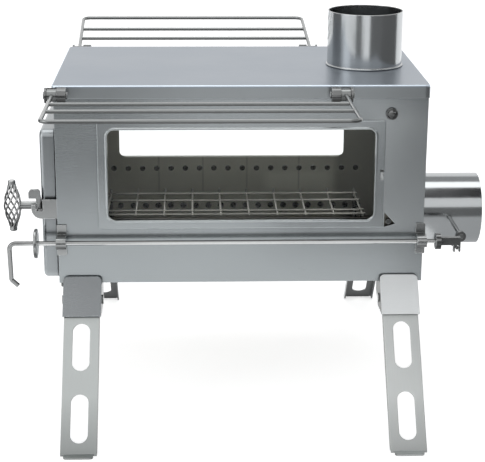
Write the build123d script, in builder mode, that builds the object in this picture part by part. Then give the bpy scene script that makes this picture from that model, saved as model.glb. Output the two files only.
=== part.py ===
from build123d import *
import math
import os

os.makedirs("parts", exist_ok=True)

# All sizes in millimetres. X runs along the stove (fuel door at -X, intake pipe at +X),
# -Y is the front with the control rod, Z is up from the ground.

# Body box
plate_len = 362.0
plate_dep = 218.0
plate_corner = 5.0
plate_edge = 1.5
sheet = 1.2
lip_h = 13.0
lip_fit = 0.3
body_h = 197.8
stand_h = 133.5
panel_flange = 12.0

# Windows
window_len = 259.0
window_h = 90.4
window_drop = 43.1
window_corner = 7.0
frame_side = 9.5
frame_top = 8.4
frame_t = 1.5
rim_w = 2.0
rim_h = 1.5
glass_t = 3.5
glass_lap = 6.0
glass_gap = 0.3
retainer_w = 5.0
lug_reach = 11.5
lug_h = 17.0
thumb_w = 3.6
thumb_h = 10.0
thumb_deep = 1.2

# Flue collar and intake pipe
flue_r = 38.0
flue_wall = 1.0
flue_h = 55.6
flue_inset = 50.5
bead_r = 0.9
collar_flange = 6.0
flange_t = 1.2
collar_drop = 6.0
pipe_r = 37.0
pipe_wall = 1.0
pipe_reach = 72.5
pipe_z = 44.3
fit_gap = 0.15

# Fuel door on the left end
door_half = 102.0
door_low = 3.0
door_high = 153.0
door_t = 14.0
door_corner = 8.0
door_edge = 4.0
opening_half = 84.0
opening_low = 17.0
opening_high = 133.0
opening_rim = 8.0
seal_t = 1.4
seal_w = 6.0
hinge_x = 7.0
hinge_y = 108.0
hinge_r = 4.0
hinge_pin_r = 2.0
knuckle_len = 10.0
knuckle_gap = 0.5
hinge_heights = (38.0, 112.0)
running_fit = 0.08
door_swing_gap = 1.5

# Latch: basket handle, shaft, tongue and keeper
shaft_y = -92.0
shaft_z = 75.5
shaft_r = 3.8
shaft_out = 22.4
cage_x = 44.6
cage_half = 25.8
cage_r = 8.0
cage_wire_r = 0.9
cage_wires = 8
cage_turn = 200.0
cage_neck_r = 2.3
knob_r = 3.6
knob_h = 5.0
tongue_y = -102.7
tongue_t = 4.0
tongue_gap = 0.7
nut_rim = 1.8
keeper_t = 2.0

# Control rod along the front
rod_r = 2.25
rod_y = -118.0
rod_bend_x = 46.4
rod_bend_r = 6.0
rod_drop = 37.0
kink_run = 6.6
kink_drop = 6.2
rod_end_x = 18.0
disc_x = 20.3
disc_r = 14.6
disc_t = 3.0
guide_w = 9.5
guide_low = 29.0
guide_high = 60.0
guide_t = 1.5
guide_barrel_r = 6.0
guide_left_x = 4.0
guide_right_x = 3.0
crank_x = 10.5
crank_r = 8.0
crank_t = 5.0
fork_t = 5.0
fork_low = 10.5
fork_high = 4.2
fork_bar_low = 3.6
fork_prong = 1.5
pin_slack = 0.35

# Damper in the intake pipe
spindle_x = 38.4
spindle_r = 2.2
spindle_front = -104.0
spindle_back = 5.0
flap_gap = 0.7
flap_t = 1.0
hub_r = 3.6
lever_t = 4.0
lever_arm = 9.2
lever_boss_r = 5.2
lever_tip_r = 3.6
lever_tilt = 45.0
lever_pin_r = 1.6

# Legs and their brackets
leg_x = 156.3
leg_w = 34.6
leg_t = 1.5
leg_flange = 8.0
leg_top = 3.0
leg_corner = 3.0
leg_tilt = 38.8
leg_inset = 11.0
leg_ear_r = 7.5
pivot_y = 111.8
pivot_drop = 16.0
slot_w = 16.6
slot_len = 47.6
slot_first = 52.5
slot_second = 123.5
bracket_t = 1.5
bracket_gap = 0.6
bracket_top = 19.4
bracket_low = 22.1
bracket_side_gap = 0.3
bracket_corner = 5.0
ear_back = 86.0
ear_t = 1.2
leg_pin_r = 3.0
pin_head_r = 4.6
pin_head_t = 1.5
foot_w = 28.0
foot_reach = 7.0
foot_t = 1.6
foot_corner = 3.0

# Side racks
front_rack_pivots = (-179.5, 98.0)
front_rack_corners = (-174.5, 94.5)
front_rack_rise = 11.0
rear_rack_pivots = (-171.5, 84.0)
rear_rack_corners = (-177.5, 85.2)
rear_rack_rise = 12.5
rack_reach = 160.5
rack_wire_r = 1.9
rack_bar_r = 1.8
rack_corner = 9.0
rack_bars = (59.0, 103.0)
rack_pivot_out = 10.0
rack_pivot_drop = 7.3
rack_pin_r = 1.6
rack_eye_r = 6.0
rack_eye_len = 9.2
rack_eye_gap = 0.3
rack_ear_r = 7.4
rack_ear_half = 5.4
rack_knuckle_len = 8.5
rack_plate_t = 1.8
rack_head_r = 3.4
rack_head_t = 1.3
rack_base_t = 1.2

# Grate and rear air plate
grate_z = 48.8
grate_wire_r = 1.3
grate_row_r = 1.2
grate_foot_r = 2.4
grate_pitch = 29.2
grate_count = 10
grate_x = -4.0
grate_front = -43.0
grate_rear = 41.5
grate_lift = 5.0
grate_lean = 3.0
grate_rows = (-40.0, -26.0, 12.0, 39.0)
air_y = 96.0
air_t = 1.2
air_half = 165.0
air_low = 8.0
air_drop = 25.8
air_window_x = -3.9
air_window_len = 248.6
air_window_low = 78.0
air_window_drop = 40.8
air_corner = 5.0
upper_hole_r = 3.1
upper_row_z = 63.6
upper_pitch = 15.85
upper_count = 18
lower_hole_r = 3.5
lower_row_z = 20.6
lower_pitch = 14.0
lower_count = 21
lower_shift = -2.0
air_lip = 4.0

# Triangular cut-out beside the front window frame, and window retaining screws
cutout_gap = 1.5
cutout_low = 0.1
cutout_h = 14.9
cutout_len = 11.0
cutout_tip = 3.1
inner_screw_x = 4.2
inner_screw_z = 5.4
inner_screw_r = 2.6
screw_out = 5.2
screw_up = 6.6
washer_r = 5.8
washer_t = 1.0
screw_r = 4.5
screw_h = 3.2
screw_dome = 2.6
stud_r = 1.3
stud_h = 5.0

# Derived places
window_z = body_h - window_drop - window_h / 2
air_high = body_h - air_drop
air_window_high = body_h - air_window_drop
body_len = plate_len - 2 * (sheet + lip_fit)
body_dep = plate_dep - 2 * (sheet + lip_fit)
left_reach = cage_x + cage_r + cage_wire_r
mid_x = (left_reach - pipe_reach) / 2
left_x = mid_x - body_len / 2
right_x = mid_x + body_len / 2
base_z = stand_h
top_z = base_z + body_h
face_y = body_dep / 2
inner_y = face_y - sheet
flue_x = right_x - flue_inset
tilt_s = math.sin(math.radians(leg_tilt))
tilt_c = math.cos(math.radians(leg_tilt))
rod_z = base_z + pipe_z


def z_of(height):
    return base_z + height


def save(piece, label):
    piece.label = label
    export_step(piece, "parts/" + label + ".step")


def box_at(x0, x1, y0, y1, z0, z1):
    with Locations(((x0 + x1) / 2, (y0 + y1) / 2, (z0 + z1) / 2)):
        Box(x1 - x0, y1 - y0, z1 - z0)


# Corner relief: what the upright sheets lose under the lip of the top plate
with BuildPart() as corner_relief:
    with BuildSketch(Plane.XY.offset(top_z - lip_h - lip_fit)):
        with Locations((mid_x, 0)):
            Rectangle(body_len + 2, body_dep + 2)
            RectangleRounded(body_len, body_dep, plate_corner - sheet - lip_fit, mode=Mode.SUBTRACT)
    extrude(amount=lip_h + lip_fit)

# Top plate: shallow inverted pan with a hole for the flue collar
with BuildPart() as top_plate:
    with BuildSketch(Plane.XY.offset(top_z - lip_h)):
        with Locations((mid_x, 0)):
            RectangleRounded(plate_len, plate_dep, plate_corner)
    extrude(amount=lip_h)
    fillet(top_plate.faces().sort_by(Axis.Z)[-1].edges(), plate_edge)
    with BuildSketch(Plane.XY.offset(top_z - lip_h)):
        with Locations((mid_x, 0)):
            RectangleRounded(plate_len - 2 * sheet, plate_dep - 2 * sheet, plate_corner - sheet)
    extrude(amount=lip_h - sheet, mode=Mode.SUBTRACT)
    with BuildSketch(Plane.XY.offset(top_z)):
        with Locations((flue_x, 0)):
            Circle(flue_r + fit_gap)
    extrude(amount=-2 * sheet, mode=Mode.SUBTRACT)
save(top_plate.part, "top_plate")


# Front and rear panels: upright sheet with a top flange and a window opening
def side_panel(side):
    with BuildPart() as panel:
        y0, y1 = sorted((side * face_y, side * inner_y))
        box_at(left_x, right_x, y0, y1, base_z, top_z - sheet)
        f0, f1 = sorted((side * inner_y, side * (inner_y - panel_flange)))
        box_at(left_x + sheet, right_x - sheet, f0, f1, top_z - 2 * sheet, top_z - sheet)
        with BuildSketch(Plane.XZ.offset(-side * face_y)):
            with Locations((mid_x, z_of(window_z))):
                RectangleRounded(window_len + 2, window_h + 2, window_corner + 1)
        extrude(amount=2 * sheet, both=True, mode=Mode.SUBTRACT)
        if side < 0:
            corner_x = mid_x + window_len / 2 + frame_side + cutout_gap
            corner_z = z_of(window_z) - window_h / 2 - frame_top
            with BuildSketch(Plane.XZ.offset(face_y)):
                with BuildLine():
                    Polyline((corner_x, corner_z + cutout_low), (corner_x, corner_z + cutout_h),
                             (corner_x + cutout_len, corner_z + cutout_tip), close=True)
                make_face()
            extrude(amount=-2 * sheet, mode=Mode.SUBTRACT)
        add(corner_relief.part, mode=Mode.SUBTRACT)
    return panel.part


save(side_panel(-1), "front_panel")
save(side_panel(1), "rear_panel")

# Bottom pan with upturned flanges against the panels
with BuildPart() as bottom_pan:
    box_at(left_x + sheet, right_x - sheet, -inner_y, inner_y, base_z, base_z + sheet)
    for side in (-1, 1):
        y0, y1 = sorted((side * inner_y, side * (inner_y - sheet)))
        box_at(left_x + sheet, right_x - sheet, y0, y1, base_z, base_z + panel_flange / 2)
save(bottom_pan.part, "bottom_pan")

# Right end panel with the intake hole
with BuildPart() as end_panel:
    box_at(right_x - sheet, right_x, -inner_y, inner_y, base_z, top_z - sheet)
    with BuildSketch(Plane.YZ.offset(right_x)):
        with Locations((0, z_of(pipe_z))):
            Circle(pipe_r + fit_gap)
    extrude(amount=-2 * sheet, mode=Mode.SUBTRACT)
    add(corner_relief.part, mode=Mode.SUBTRACT)
save(end_panel.part, "end_panel")

# Left end frame around the fuel opening, with a turned-in rim
opening_h = opening_high - opening_low
opening_mid = (opening_high + opening_low) / 2
with BuildPart() as door_frame:
    box_at(left_x, left_x + sheet, -inner_y, inner_y, base_z, top_z - sheet)
    with BuildSketch(Plane.YZ.offset(left_x)):
        with Locations((0, z_of(opening_mid))):
            RectangleRounded(2 * opening_half, opening_h, door_corner)
    extrude(amount=opening_rim)
    with BuildSketch(Plane.YZ.offset(left_x)):
        with Locations((0, z_of(opening_mid))):
            RectangleRounded(2 * (opening_half - sheet), opening_h - 2 * sheet, door_corner - sheet)
    extrude(amount=opening_rim, mode=Mode.SUBTRACT)
    add(corner_relief.part, mode=Mode.SUBTRACT)
save(door_frame.part, "door_frame")

# Flue collar: tube with a weld bead on the plate and a flange under it
with BuildPart() as flue_collar:
    with BuildSketch(Plane.XZ):
        with Locations((flue_x + flue_r - flue_wall / 2, top_z + (flue_h - collar_drop) / 2)):
            Rectangle(flue_wall, flue_h + collar_drop)
        with Locations((flue_x + flue_r + 0.4 * bead_r, top_z + bead_r)):
            Circle(bead_r)
        with Locations((flue_x + flue_r + (collar_flange - flue_wall) / 2, top_z - sheet - flange_t / 2)):
            Rectangle(collar_flange + flue_wall, flange_t)
    revolve(axis=Axis((flue_x, 0, 0), (0, 0, 1)), revolution_arc=360)
save(flue_collar.part, "flue_collar")

# Intake pipe: tube through the end panel with a flange inside and spindle bores
pipe_start = right_x - sheet - collar_drop
with BuildPart() as intake_pipe:
    with BuildSketch(Plane.YZ.offset(pipe_start)):
        with Locations((0, rod_z)):
            Circle(pipe_r)
            Circle(pipe_r - pipe_wall, mode=Mode.SUBTRACT)
    extrude(amount=right_x + pipe_reach - pipe_start)
    with BuildSketch(Plane.YZ.offset(right_x - sheet)):
        with Locations((0, rod_z)):
            Circle(pipe_r + collar_flange)
            Circle(pipe_r - pipe_wall, mode=Mode.SUBTRACT)
    extrude(amount=-flange_t)
    with BuildSketch(Plane.XZ):
        with Locations((right_x + spindle_x, rod_z)):
            Circle(spindle_r + running_fit)
    extrude(amount=2 * pipe_r, both=True, mode=Mode.SUBTRACT)
save(intake_pipe.part, "intake_pipe")


# Window frame on the outside of a panel, with a raised rim round the opening
def window_frame(side):
    outer_len = window_len + 2 * frame_side
    outer_h = window_h + 2 * frame_top
    with BuildPart() as frame:
        plane = Plane.XZ.offset(face_y) if side < 0 else Plane(
            origin=(0, face_y, 0), x_dir=(-1, 0, 0), z_dir=(0, 1, 0))
        cx = mid_x if side < 0 else -mid_x
        with BuildSketch(plane):
            with Locations((cx, z_of(window_z))):
                RectangleRounded(outer_len, outer_h, 2.0)
        extrude(amount=frame_t)
        with BuildSketch(plane):
            with Locations((cx, z_of(window_z))):
                RectangleRounded(window_len + 2 * rim_w, window_h + 2 * rim_w, window_corner + rim_w)
        extrude(amount=frame_t + rim_h)
        fillet(frame.faces().sort_by(Axis.Y)[0 if side < 0 else -1].edges(), rim_h * 0.6)
        with BuildSketch(plane):
            with Locations((cx, z_of(window_z))):
                RectangleRounded(window_len, window_h, window_corner)
        extrude(amount=frame_t + rim_h, mode=Mode.SUBTRACT)
        thumb_x = window_len / 2 + frame_side - thumb_w / 2 - 0.6
        with BuildSketch(plane.offset(frame_t)):
            with Locations((cx - side * thumb_x, z_of(window_z))):
                SlotOverall(thumb_h, thumb_w, rotation=90)
        extrude(amount=-thumb_deep, mode=Mode.SUBTRACT)
    return frame.part


# Glass pane behind a panel
def glass_pane(side):
    with BuildPart() as pane:
        y0, y1 = sorted((side * inner_y, side * (inner_y - glass_t)))
        box_at(mid_x - window_len / 2 - glass_lap, mid_x + window_len / 2 + glass_lap, y0, y1,
               z_of(window_z) - window_h / 2 - glass_lap, z_of(window_z) + window_h / 2 + glass_lap)
    return pane.part


# Ring that holds the glass against the panel
def glass_retainer(side):
    in_len = window_len + 2 * (glass_lap + glass_gap)
    in_h = window_h + 2 * (glass_lap + glass_gap)
    with BuildPart() as ring:
        with BuildSketch(Plane.XZ.offset(-side * inner_y)):
            with Locations((mid_x, z_of(window_z))):
                Rectangle(in_len + 2 * retainer_w, in_h + 2 * retainer_w)
                Rectangle(in_len, in_h, mode=Mode.SUBTRACT)
        extrude(amount=side * (glass_t + glass_gap))
        with BuildSketch(Plane.XZ.offset(-side * (inner_y - glass_t - glass_gap))):
            with Locations((mid_x, z_of(window_z))):
                Rectangle(in_len + 2 * retainer_w, in_h + 2 * retainer_w)
                Rectangle(window_len, window_h, mode=Mode.SUBTRACT)
        extrude(amount=side * sheet)
        lug_x = mid_x + in_len / 2 + retainer_w
        lug_y = sorted((side * (inner_y - glass_t - glass_gap), side * (inner_y - glass_t - glass_gap - sheet)))
        for sign in (-1, 1):
            lug_z = z_of(window_z) + sign * (in_h / 2 + retainer_w - lug_h / 2)
            box_at(lug_x, lug_x + lug_reach, lug_y[0], lug_y[1], lug_z - lug_h / 2, lug_z + lug_h / 2)
    return ring.part


# Screws at the right corners of a window: button heads on washers, and on the front
# a plain head on the retainer lug behind the cut-out
def window_screws(side):
    out_x = window_len / 2 + frame_side + screw_out
    out_z = window_h / 2 + frame_top + screw_up
    with BuildPart() as screws:
        for sign in (-1, 1):
            if side < 0 and sign < 0:
                head_x = mid_x + window_len / 2 + frame_side + cutout_gap + inner_screw_x
                head_z = z_of(window_z) - window_h / 2 - frame_top + inner_screw_z
                with BuildSketch(Plane.XZ.offset(inner_y - glass_t - glass_gap)):
                    with Locations((head_x, head_z)):
                        Circle(inner_screw_r)
                extrude(amount=glass_t + glass_gap + sheet)
                continue
            for start, radius, height in (
                    (face_y, screw_r, frame_t),
                    (face_y + frame_t, washer_r, washer_t),
                    (face_y + frame_t + washer_t, screw_r, screw_h)):
                with BuildSketch(Plane.XZ.offset(-side * start)):
                    with Locations((mid_x + out_x, z_of(window_z) + sign * out_z)):
                        Circle(radius)
                extrude(amount=-side * height)
        outermost = screws.faces().sort_by(Axis.Y).group_by(Axis.Y)[0 if side < 0 else -1]
        fillet(outermost.edges(), screw_dome)
    return screws.part


for side, name in ((-1, "front"), (1, "rear")):
    save(window_frame(side), name + "_window_frame")
    save(glass_pane(side), name + "_glass")
    save(glass_retainer(side), name + "_glass_retainer")
    save(window_screws(side), name + "_window_screws")

# Rear air plate: perforated sheet in front of the rear wall with its own window and a lip
with BuildPart() as air_plate:
    box_at(mid_x - air_half, mid_x + air_half, air_y, air_y + air_t, z_of(air_low), z_of(air_high))
    for sign in (-1, 1):
        x0, x1 = sorted((mid_x + sign * air_half, mid_x + sign * (air_half - air_t)))
        box_at(x0, x1, air_y, inner_y, z_of(air_low), z_of(air_high))
    with BuildSketch(Plane.XZ.offset(-air_y)):
        with Locations((mid_x + air_window_x, z_of((air_window_low + air_window_high) / 2))):
            RectangleRounded(air_window_len, air_window_high - air_window_low, air_corner)
        with Locations((mid_x, z_of(upper_row_z))):
            with GridLocations(upper_pitch, 1, upper_count, 1):
                Circle(upper_hole_r)
        with Locations((mid_x + lower_shift, z_of(lower_row_z))):
            with GridLocations(lower_pitch, 1, lower_count, 1):
                Circle(lower_hole_r)
    extrude(amount=2 * air_t, both=True, mode=Mode.SUBTRACT)
    lip_half = air_window_len / 2 - air_corner
    box_at(mid_x + air_window_x - lip_half, mid_x + air_window_x + lip_half, air_y - air_lip, air_y + air_t,
           z_of(air_window_low) - air_t, z_of(air_window_low))
save(air_plate.part, "rear_air_plate")

# Wire grate: cross wires with raised rear ends, and long wires on them
grate_half = grate_pitch * (grate_count - 1) / 2
lean_len = math.hypot(grate_lift, grate_lean)
lean_deg = math.degrees(math.atan2(grate_lift, grate_lean))
with BuildPart() as grate:
    for i in range(grate_count):
        x = mid_x + grate_x - grate_half + i * grate_pitch
        with Locations((x, (grate_front + grate_rear) / 2, z_of(grate_z))):
            Cylinder(grate_wire_r, grate_rear - grate_front, rotation=(90, 0, 0))
        with Locations((x, grate_rear, z_of(grate_z))):
            Sphere(grate_wire_r + 0.02)
        with Locations((x, grate_rear + grate_lean / 2, z_of(grate_z + grate_lift / 2))):
            Cylinder(grate_wire_r, lean_len, rotation=(lean_deg - 90, 0, 0))
    for y in grate_rows:
        with Locations((mid_x + grate_x, y, z_of(grate_z + grate_wire_r))):
            Cylinder(grate_row_r, 2 * grate_half + 4 * grate_wire_r, rotation=(0, 90, 0))
save(grate.part, "grate")

# Four posts with saddle tops that carry the grate above the pan
with BuildPart() as grate_feet:
    for sign in (-1, 1):
        x = mid_x + grate_x + sign * grate_half
        for y in (grate_front + 3 * grate_foot_r, grate_rear - 3 * grate_foot_r):
            with Locations((x, y, (base_z + sheet + z_of(grate_z)) / 2)):
                Cylinder(grate_foot_r, grate_z - sheet)
        with Locations((x, (grate_front + grate_rear) / 2, z_of(grate_z))):
            Cylinder(grate_wire_r, grate_rear - grate_front, rotation=(90, 0, 0), mode=Mode.SUBTRACT)
save(grate_feet.part, "grate_feet")


# Rod guide: plate on the front panel with a bored nose for the control rod
def rod_guide(x):
    with BuildPart() as guide:
        box_at(x - guide_w / 2, x + guide_w / 2, -face_y - guide_t, -face_y, z_of(guide_low), z_of(guide_high))
        with BuildSketch(Plane.YZ.offset(x - guide_w / 2)):
            with Locations((rod_y, rod_z)):
                Circle(guide_barrel_r)
            with Locations(((rod_y - face_y) / 2, rod_z)):
                Rectangle(-face_y - rod_y, 2 * guide_barrel_r)
            with Locations((rod_y, rod_z)):
                Circle(rod_r + running_fit, mode=Mode.SUBTRACT)
        extrude(amount=guide_w)
    return guide.part


save(rod_guide(left_x + guide_left_x), "rod_guide_left")
save(rod_guide(right_x - guide_right_x), "rod_guide_right")

# Keeper: flat hook in the plane of the front panel, mouth upward
keeper_low = 66.2
keeper_high = 85.4
mouth_z = 73.7
tip_z = 79.8
mouth_in = 13.7
mouth_out = 20.6
hook_out = 24.7
hook_r = 9.5
with BuildPart() as latch_keeper:
    with BuildSketch(Plane.XZ.offset(face_y - keeper_t)) as keeper_shape:
        with BuildLine():
            Polyline(
                (left_x, z_of(keeper_low)),
                (left_x, z_of(keeper_high)),
                (left_x - mouth_in, z_of(keeper_high)),
                (left_x - mouth_in, z_of(mouth_z)),
                (left_x - mouth_out, z_of(mouth_z)),
                (left_x - mouth_out, z_of(tip_z)),
                (left_x - hook_out, z_of(tip_z)),
                (left_x - hook_out, z_of(keeper_low)),
                close=True)
        make_face()
        corner = keeper_shape.vertices().sort_by(Axis.X)[0:2].sort_by(Axis.Y)[0]
        fillet(corner, hook_r)
    extrude(amount=keeper_t)
save(latch_keeper.part, "latch_keeper")

# Small stud under the front left corner
with BuildPart() as locating_stud:
    with Locations((left_x + 2.5, -face_y + 4.0, base_z - stud_h / 2)):
        Cylinder(stud_r, stud_h)
save(locating_stud.part, "locating_stud")


# Leg frame of reference: origin on the pivot, Y up the leg, Z out of its face
def leg_plane(x, side, offset=0.0):
    origin = (x, side * pivot_y, z_of(-pivot_drop))
    plane = Plane(origin=origin, x_dir=(-side, 0, 0), z_dir=(0, side * tilt_c, tilt_s))
    return plane.offset(offset)


# Leg bracket: tilted cap plate, two ears on the body bottom, and a base web
def leg_bracket(x, side):
    half_in = leg_w / 2 + bracket_side_gap
    width = 2 * (half_in + ear_t)
    face_in = leg_inset + bracket_gap
    face_len = bracket_top + bracket_low

    def on_face(along, depth):
        y = -tilt_c * depth + tilt_s * along
        z = tilt_s * depth + tilt_c * along
        return (side * (pivot_y - y), z_of(z - pivot_drop))

    top_along = (pivot_drop - tilt_s * face_in) / tilt_c
    with BuildPart() as bracket:
        with BuildSketch(leg_plane(x, side, face_in)) as cap:
            with Locations((0, (bracket_top - bracket_low) / 2)):
                Rectangle(width, face_len)
            fillet(cap.vertices().group_by(Axis.Y)[-1], bracket_corner)
        extrude(amount=bracket_t)
        for sign in (-1, 1):
            start = x + sign * half_in
            with BuildSketch(Plane.YZ.offset(start)):
                with BuildLine():
                    Polyline(
                        on_face(top_along, face_in),
                        (side * ear_back, base_z),
                        (side * ear_back, z_of(-pivot_drop)),
                        (side * (pivot_y - leg_ear_r), z_of(-pivot_drop - leg_inset)),
                        on_face(-bracket_low, face_in),
                        close=True)
                make_face()
                with Locations((side * pivot_y, z_of(-pivot_drop))):
                    Circle(leg_pin_r, mode=Mode.SUBTRACT)
            extrude(amount=sign * ear_t)
        y0, y1 = sorted((side * ear_back, side * (face_y - sheet)))
        box_at(x - half_in, x + half_in, y0, y1, base_z - ear_t, base_z)
    return bracket.part


# Pivot pins with a head outside each ear
half_out = leg_w / 2 + bracket_side_gap + ear_t
with BuildPart() as leg_pins:
    for x in (mid_x - leg_x, mid_x + leg_x):
        for y in (-pivot_y, pivot_y):
            with Locations((x, y, z_of(-pivot_drop))):
                Cylinder(leg_pin_r, 2 * half_out, rotation=(0, 90, 0))
            for sign in (-1, 1):
                with Locations((x + sign * (half_out + pin_head_t / 2), y, z_of(-pivot_drop))):
                    Cylinder(pin_head_r, pin_head_t, rotation=(0, 90, 0))
save(leg_pins.part, "leg_pins")


# Leg: channel with two oval slots, ears round the pivot, ends level with the ground and a
# turned-out foot lip
def leg(x, side):
    leg_end = (stand_h - pivot_drop + tilt_s * leg_inset) / tilt_c
    foot_y = pivot_y + tilt_c * leg_inset + tilt_s * leg_end
    with BuildPart() as channel:
        with BuildSketch(leg_plane(x, side, leg_inset - leg_flange)):
            with Locations((0, (leg_top - leg_end - leg_flange) / 2)):
                RectangleRounded(leg_w, leg_end + leg_top + leg_flange, leg_corner)
        extrude(amount=leg_flange)
        with BuildSketch(leg_plane(x, side, leg_inset - leg_flange)):
            with Locations((0, (leg_top - leg_end - leg_flange) / 2)):
                Rectangle(leg_w - 2 * leg_t, leg_end + leg_top + leg_flange)
        extrude(amount=leg_flange - leg_t, mode=Mode.SUBTRACT)
        with BuildSketch(leg_plane(x, side, leg_inset)):
            for start in (slot_first, slot_second):
                with Locations((0, -start)):
                    SlotOverall(slot_len, slot_w, rotation=90)
        extrude(amount=-leg_flange, mode=Mode.SUBTRACT)
        for sign in (-1, 1):
            outer = x + sign * leg_w / 2
            with BuildSketch(Plane.YZ.offset(outer)):
                with Locations((side * pivot_y, z_of(-pivot_drop))):
                    Circle(leg_ear_r)
            extrude(amount=-sign * leg_t)
            with BuildSketch(Plane.YZ.offset(outer)):
                with Locations((side * pivot_y, z_of(-pivot_drop))):
                    Circle(leg_pin_r + running_fit)
            extrude(amount=-sign * 2 * leg_t, mode=Mode.SUBTRACT)
        with Locations((x, side * plate_dep, -leg_w)):
            Box(3 * leg_w, plate_dep, 2 * leg_w, mode=Mode.SUBTRACT)
        with BuildSketch(Plane.XY) as lip:
            with Locations((x, side * (foot_y + (foot_reach - 2 * leg_t) / 2))):
                Rectangle(foot_w, foot_reach + 2 * leg_t)
            fillet(lip.vertices().group_by(Axis.Y)[0 if side < 0 else -1], foot_corner)
        extrude(amount=foot_t)
    return channel.part


for side, end in ((-1, "front"), (1, "rear")):
    for sign, hand in ((-1, "left"), (1, "right")):
        x = mid_x + sign * leg_x
        tag = end + "_" + hand
        save(leg_bracket(x, side), "leg_bracket_" + tag)
        save(leg(x, side), "leg_" + tag)

# Side racks: a wire frame on two eyes, with two inner bars
pivot_rack_y = plate_dep / 2 + rack_pivot_out
pivot_rack_z = top_z - rack_pivot_drop


def rack(side, pivots, corners, rack_rise):
    slope = math.atan(rack_rise / rack_reach)
    plane = Plane(origin=(mid_x, side * pivot_rack_y, pivot_rack_z), x_dir=(1, 0, 0),
                  z_dir=(0, -math.sin(slope), side * math.cos(slope)))
    reach = rack_reach / math.cos(slope)
    with BuildPart() as frame:
        with BuildLine(plane) as path:
            outline = Polyline((pivots[0], 0), (corners[0], reach), (corners[1], reach), (pivots[1], 0))
            fillet(outline.vertices().group_by(Axis.Y)[0 if side < 0 else -1], rack_corner)
        with BuildSketch(Plane.XZ.offset(-side * pivot_rack_y)):
            with Locations((mid_x + pivots[0], pivot_rack_z)):
                Circle(rack_wire_r)
        sweep(path=path.wires()[0])
        for out in rack_bars:
            share = out / rack_reach
            ends = [mid_x + near + (far - near) * share for near, far in zip(pivots, corners)]
            with Locations((sum(ends) / 2, side * (pivot_rack_y + out), pivot_rack_z + share * rack_rise)):
                Cylinder(rack_bar_r, ends[1] - ends[0], rotation=(0, 90, 0))
        for x in pivots:
            with Locations((mid_x + x, side * pivot_rack_y, pivot_rack_z)):
                Cylinder(rack_eye_r, rack_eye_len, rotation=(0, 90, 0))
        with Locations((mid_x, side * pivot_rack_y, pivot_rack_z)):
            Cylinder(rack_pin_r + running_fit, 2 * plate_len, rotation=(0, 90, 0), mode=Mode.SUBTRACT)
    return frame.part


# Where a rack hinge starts and ends along X: a long knuckle on its inner side, a plate outside
def hinge_span(x, hand):
    inner = x - hand * (rack_eye_len / 2 + rack_eye_gap)
    outer = x + hand * (rack_eye_len / 2 + rack_eye_gap)
    return ((inner, inner - hand * rack_knuckle_len), (outer, outer + hand * rack_plate_t))


# Hinge bracket on the lip: base plate, a rounded knuckle and a rounded ear
def rack_hinges(side, pivots):
    lip_y = side * plate_dep / 2
    pin_y = side * pivot_rack_y
    with BuildPart() as hinges:
        for x, hand in zip(pivots, (-1, 1)):
            spans = hinge_span(mid_x + x, hand)
            y0, y1 = sorted((lip_y, lip_y + side * rack_base_t))
            x0, x1 = sorted((spans[0][1], spans[1][1]))
            box_at(x0, x1, y0, y1, pivot_rack_z - rack_ear_half, pivot_rack_z + rack_ear_half)
            for start, end in spans:
                with BuildSketch(Plane.YZ.offset(start)):
                    with Locations((pin_y, pivot_rack_z)):
                        Circle(rack_ear_r)
                    with Locations(((lip_y + pin_y) / 2, pivot_rack_z)):
                        Rectangle(rack_pivot_out, 2 * rack_ear_half)
                    with Locations((pin_y, pivot_rack_z)):
                        Circle(rack_pin_r, mode=Mode.SUBTRACT)
                extrude(amount=end - start)
    return hinges.part


# Hinge pins with a rivet head at each end
def rack_pins(side, pivots):
    with BuildPart() as pins:
        for x, hand in zip(pivots, (-1, 1)):
            spans = hinge_span(mid_x + x, hand)
            x0, x1 = sorted((spans[0][1], spans[1][1]))
            with Locations(((x0 + x1) / 2, side * pivot_rack_y, pivot_rack_z)):
                Cylinder(rack_pin_r, x1 - x0, rotation=(0, 90, 0))
            for x_end, out in ((x0, -1), (x1, 1)):
                with Locations((x_end + out * rack_head_t / 2, side * pivot_rack_y, pivot_rack_z)):
                    Cylinder(rack_head_r, rack_head_t, rotation=(0, 90, 0))
    return pins.part


for side, end, pivots, corners, rack_rise in (
        (-1, "front", front_rack_pivots, front_rack_corners, front_rack_rise),
        (1, "rear", rear_rack_pivots, rear_rack_corners, rear_rack_rise)):
    save(rack(side, pivots, corners, rack_rise), end + "_rack")
    save(rack_hinges(side, pivots), end + "_rack_hinges")
    save(rack_pins(side, pivots), end + "_rack_pins")

# Fuel door: pressed pan with rounded corners, open toward the stove
seal_x = left_x - seal_t
door_in = seal_x
door_out = door_in - door_t
door_mid = (door_low + door_high) / 2
door_h = door_high - door_low
with BuildPart() as door_pan:
    with BuildSketch(Plane.YZ.offset(door_out)):
        with Locations((0, z_of(door_mid))):
            RectangleRounded(2 * door_half, door_h, door_corner)
    extrude(amount=door_t)
    fillet(door_pan.faces().sort_by(Axis.X)[0].edges(), door_edge)
    with BuildSketch(Plane.YZ.offset(door_in)):
        with Locations((0, z_of(door_mid))):
            RectangleRounded(2 * (door_half - sheet), door_h - 2 * sheet, door_corner - sheet)
    extrude(amount=-(door_t - door_edge), mode=Mode.SUBTRACT)
    with BuildSketch(Plane.YZ.offset(door_in - door_t + door_edge)):
        with Locations((0, z_of(door_mid))):
            RectangleRounded(2 * (door_half - door_edge), door_h - 2 * door_edge, door_corner - door_edge + 0.5)
    extrude(amount=-(door_edge - sheet), mode=Mode.SUBTRACT)
    with BuildSketch(Plane.YZ.offset(door_out)):
        with Locations((shaft_y, z_of(shaft_z))):
            Circle(shaft_r + running_fit)
    extrude(amount=2 * sheet, both=True, mode=Mode.SUBTRACT)
save(door_pan.part, "door_pan")

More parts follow.
